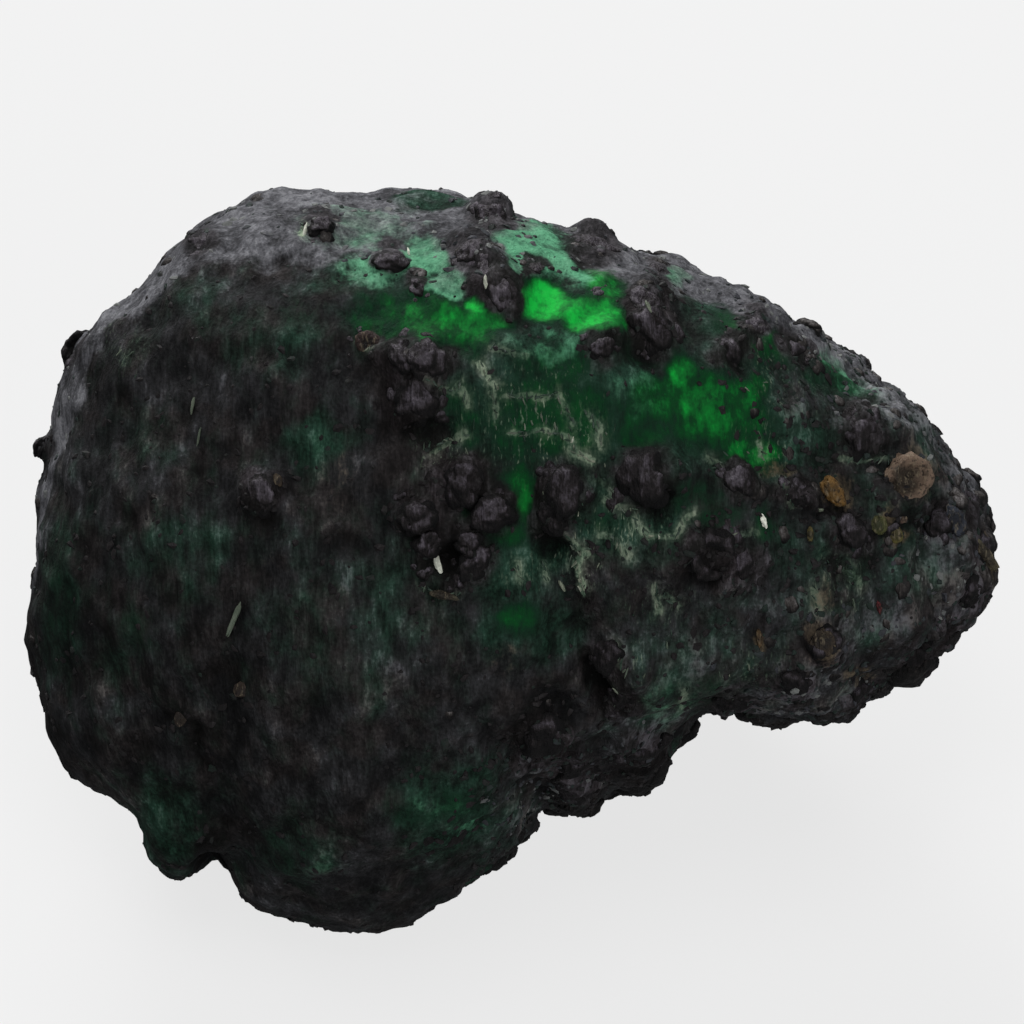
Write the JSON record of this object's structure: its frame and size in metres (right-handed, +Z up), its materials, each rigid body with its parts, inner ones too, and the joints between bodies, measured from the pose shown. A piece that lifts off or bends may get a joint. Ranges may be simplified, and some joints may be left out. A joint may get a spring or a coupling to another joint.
{
  "type": "rough emerald",
  "caption": "Rough emerald: a dark, tapering lump of mica schist and green beryl, knotted with mica, resting on a flat broken face.",
  "frame": {"origin": "on the flat resting face's plane, under the middle of the stone's bounding box", "axes": "+X along the stone towards its pointed end, +Z up as it rests, +Y towards the far side from the broad face, so the broad face looks towards -Y and up"},
  "size_m": [0.0446, 0.0312, 0.0287],
  "materials": {
    "stone": null
  },
  "bodies": {
    "root": {"rough_emerald": "stone"}
  },
  "joints": []
}
